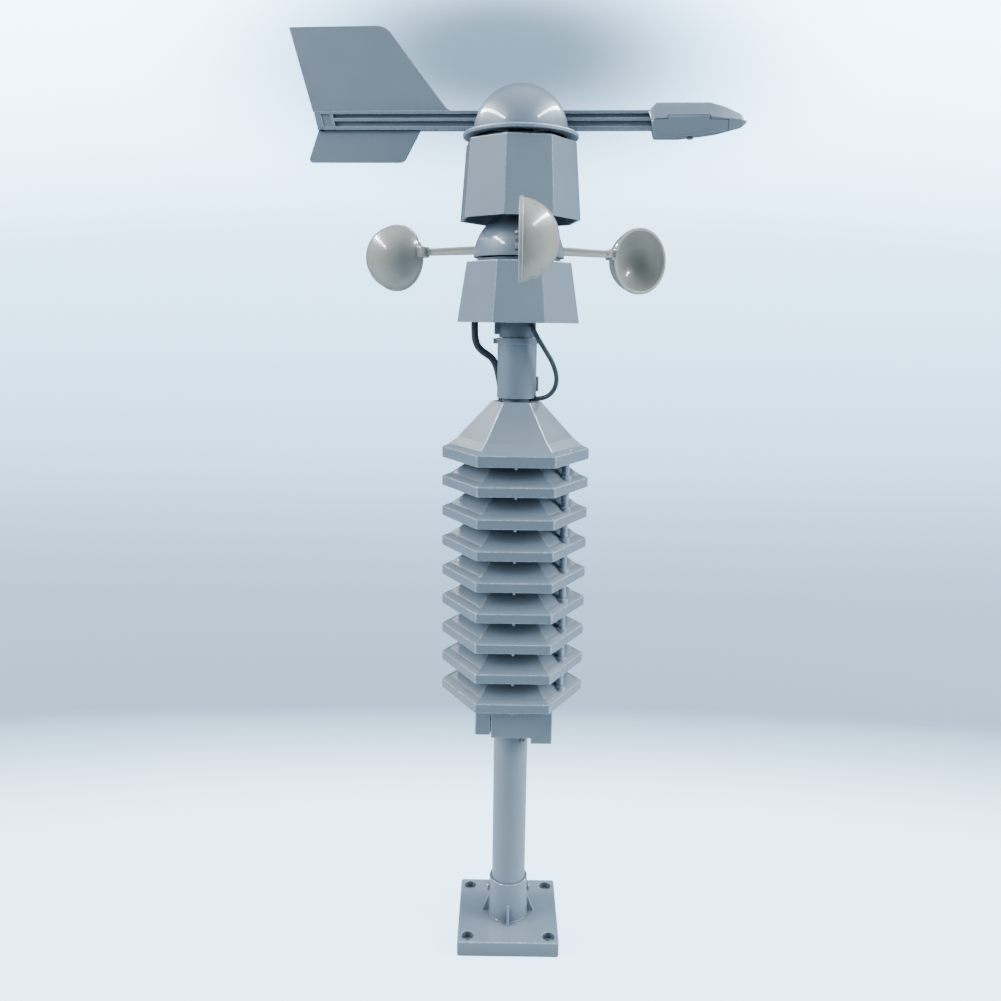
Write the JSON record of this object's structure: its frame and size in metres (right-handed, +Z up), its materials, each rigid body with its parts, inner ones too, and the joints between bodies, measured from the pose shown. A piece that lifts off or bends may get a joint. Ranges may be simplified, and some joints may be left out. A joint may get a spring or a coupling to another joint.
{
  "type": "mast weather station",
  "caption": "Outdoor weather sensor mast: wind vane over a cup anemometer, a louvred radiation shield with transmitter box, and a pole in a screw-down foot.",
  "frame": {"origin": "centre of the foot plate's underside, on the pole's axis", "axes": "+Z up along the pole and both sensor axes; +X the side that the wind vane's nose points to at rest; -Y the front"},
  "size_m": [0.293, 0.196, 0.6418],
  "materials": {
    "grey_plastic": "moulded pale grey plastic, satin gloss",
    "ivory_plastic": "thin moulded ivory plastic, glossy and slightly translucent",
    "steel": "plated steel",
    "cell_jacket": "plain printed cell jacket, no lettering",
    "circuit_board": "lacquered board with small components",
    "reed_glass": "clear glass envelope",
    "bushing_brass": "turned",
    "black_plastic": "moulded",
    "cable_jacket": "dark grey extruded cable jacket"
  },
  "bodies": {
    "mast": {"foot_plate": "grey_plastic", "foot_set_screws": "steel", "pole": "grey_plastic", "pole_lock_screw": "steel", "transmitter_box": "grey_plastic", "transmitter_lid": "grey_plastic", "batteries": "cell_jacket", "battery_contacts": "steel", "transmitter_board": "circuit_board", "sensor_guard": "grey_plastic", "humidity_sensor": "circuit_board", "louvre_1": "grey_plastic", "louvre_2": "grey_plastic", "louvre_3": "grey_plastic", "louvre_4": "grey_plastic", "louvre_5": "grey_plastic", "louvre_6": "grey_plastic", "louvre_7": "grey_plastic", "louvre_8": "grey_plastic", "spacer_sleeves": "grey_plastic", "tie_rods": "steel", "tie_rod_nuts": "steel", "shield_cap": "grey_plastic", "cable_grommet": "black_plastic", "mast_post": "grey_plastic", "sensor_neck": "grey_plastic", "speed_housing": "grey_plastic", "housing_screws": "steel", "wind_speed_board": "circuit_board", "reed_switches": "reed_glass", "support_column": "steel", "vane_housing": "grey_plastic", "vane_housing_floor": "grey_plastic", "direction_board": "circuit_board", "vane_bearings": "steel", "wind_speed_cable": "cable_jacket", "wind_direction_cable": "cable_jacket"},
    "rotor": {"rotor_bushings": "bushing_brass", "rotor_base": "grey_plastic", "rotor_dome": "grey_plastic", "rotor_magnet": "steel", "cup_arm_1": "ivory_plastic", "cup_arm_2": "ivory_plastic", "cup_arm_3": "ivory_plastic", "cup_1": "ivory_plastic", "cup_2": "ivory_plastic", "cup_3": "ivory_plastic"},
    "vane": {"vane_shaft": "steel", "magnet_carrier": "black_plastic", "vane_magnet": "steel", "vane_hub": "grey_plastic", "tail_boom": "grey_plastic", "tail_fins": "grey_plastic", "nose_boom": "grey_plastic", "nose_upper_shell": "grey_plastic", "nose_lower_shell": "grey_plastic", "nose_weight": "steel", "nose_screw": "steel"},
    "battery_door_body": {"battery_door": "grey_plastic", "door_contact_plate": "steel"}
  },
  "joints": [
    {"name": "cup_spin", "type": "hinge", "parent": "mast", "child": "rotor", "pos_m": [0, 0, 0.5015], "axis": [0, 0, 1], "continuous": true},
    {"name": "vane_spin", "type": "hinge", "parent": "mast", "child": "vane", "pos_m": [0, 0, 0.5845], "axis": [0, 0, 1], "continuous": true},
    {"name": "battery_door_slide", "type": "slide", "parent": "mast", "child": "battery_door_body", "axis": [-1, 0, 0], "range_m": [0, 0.014]}
  ]
}
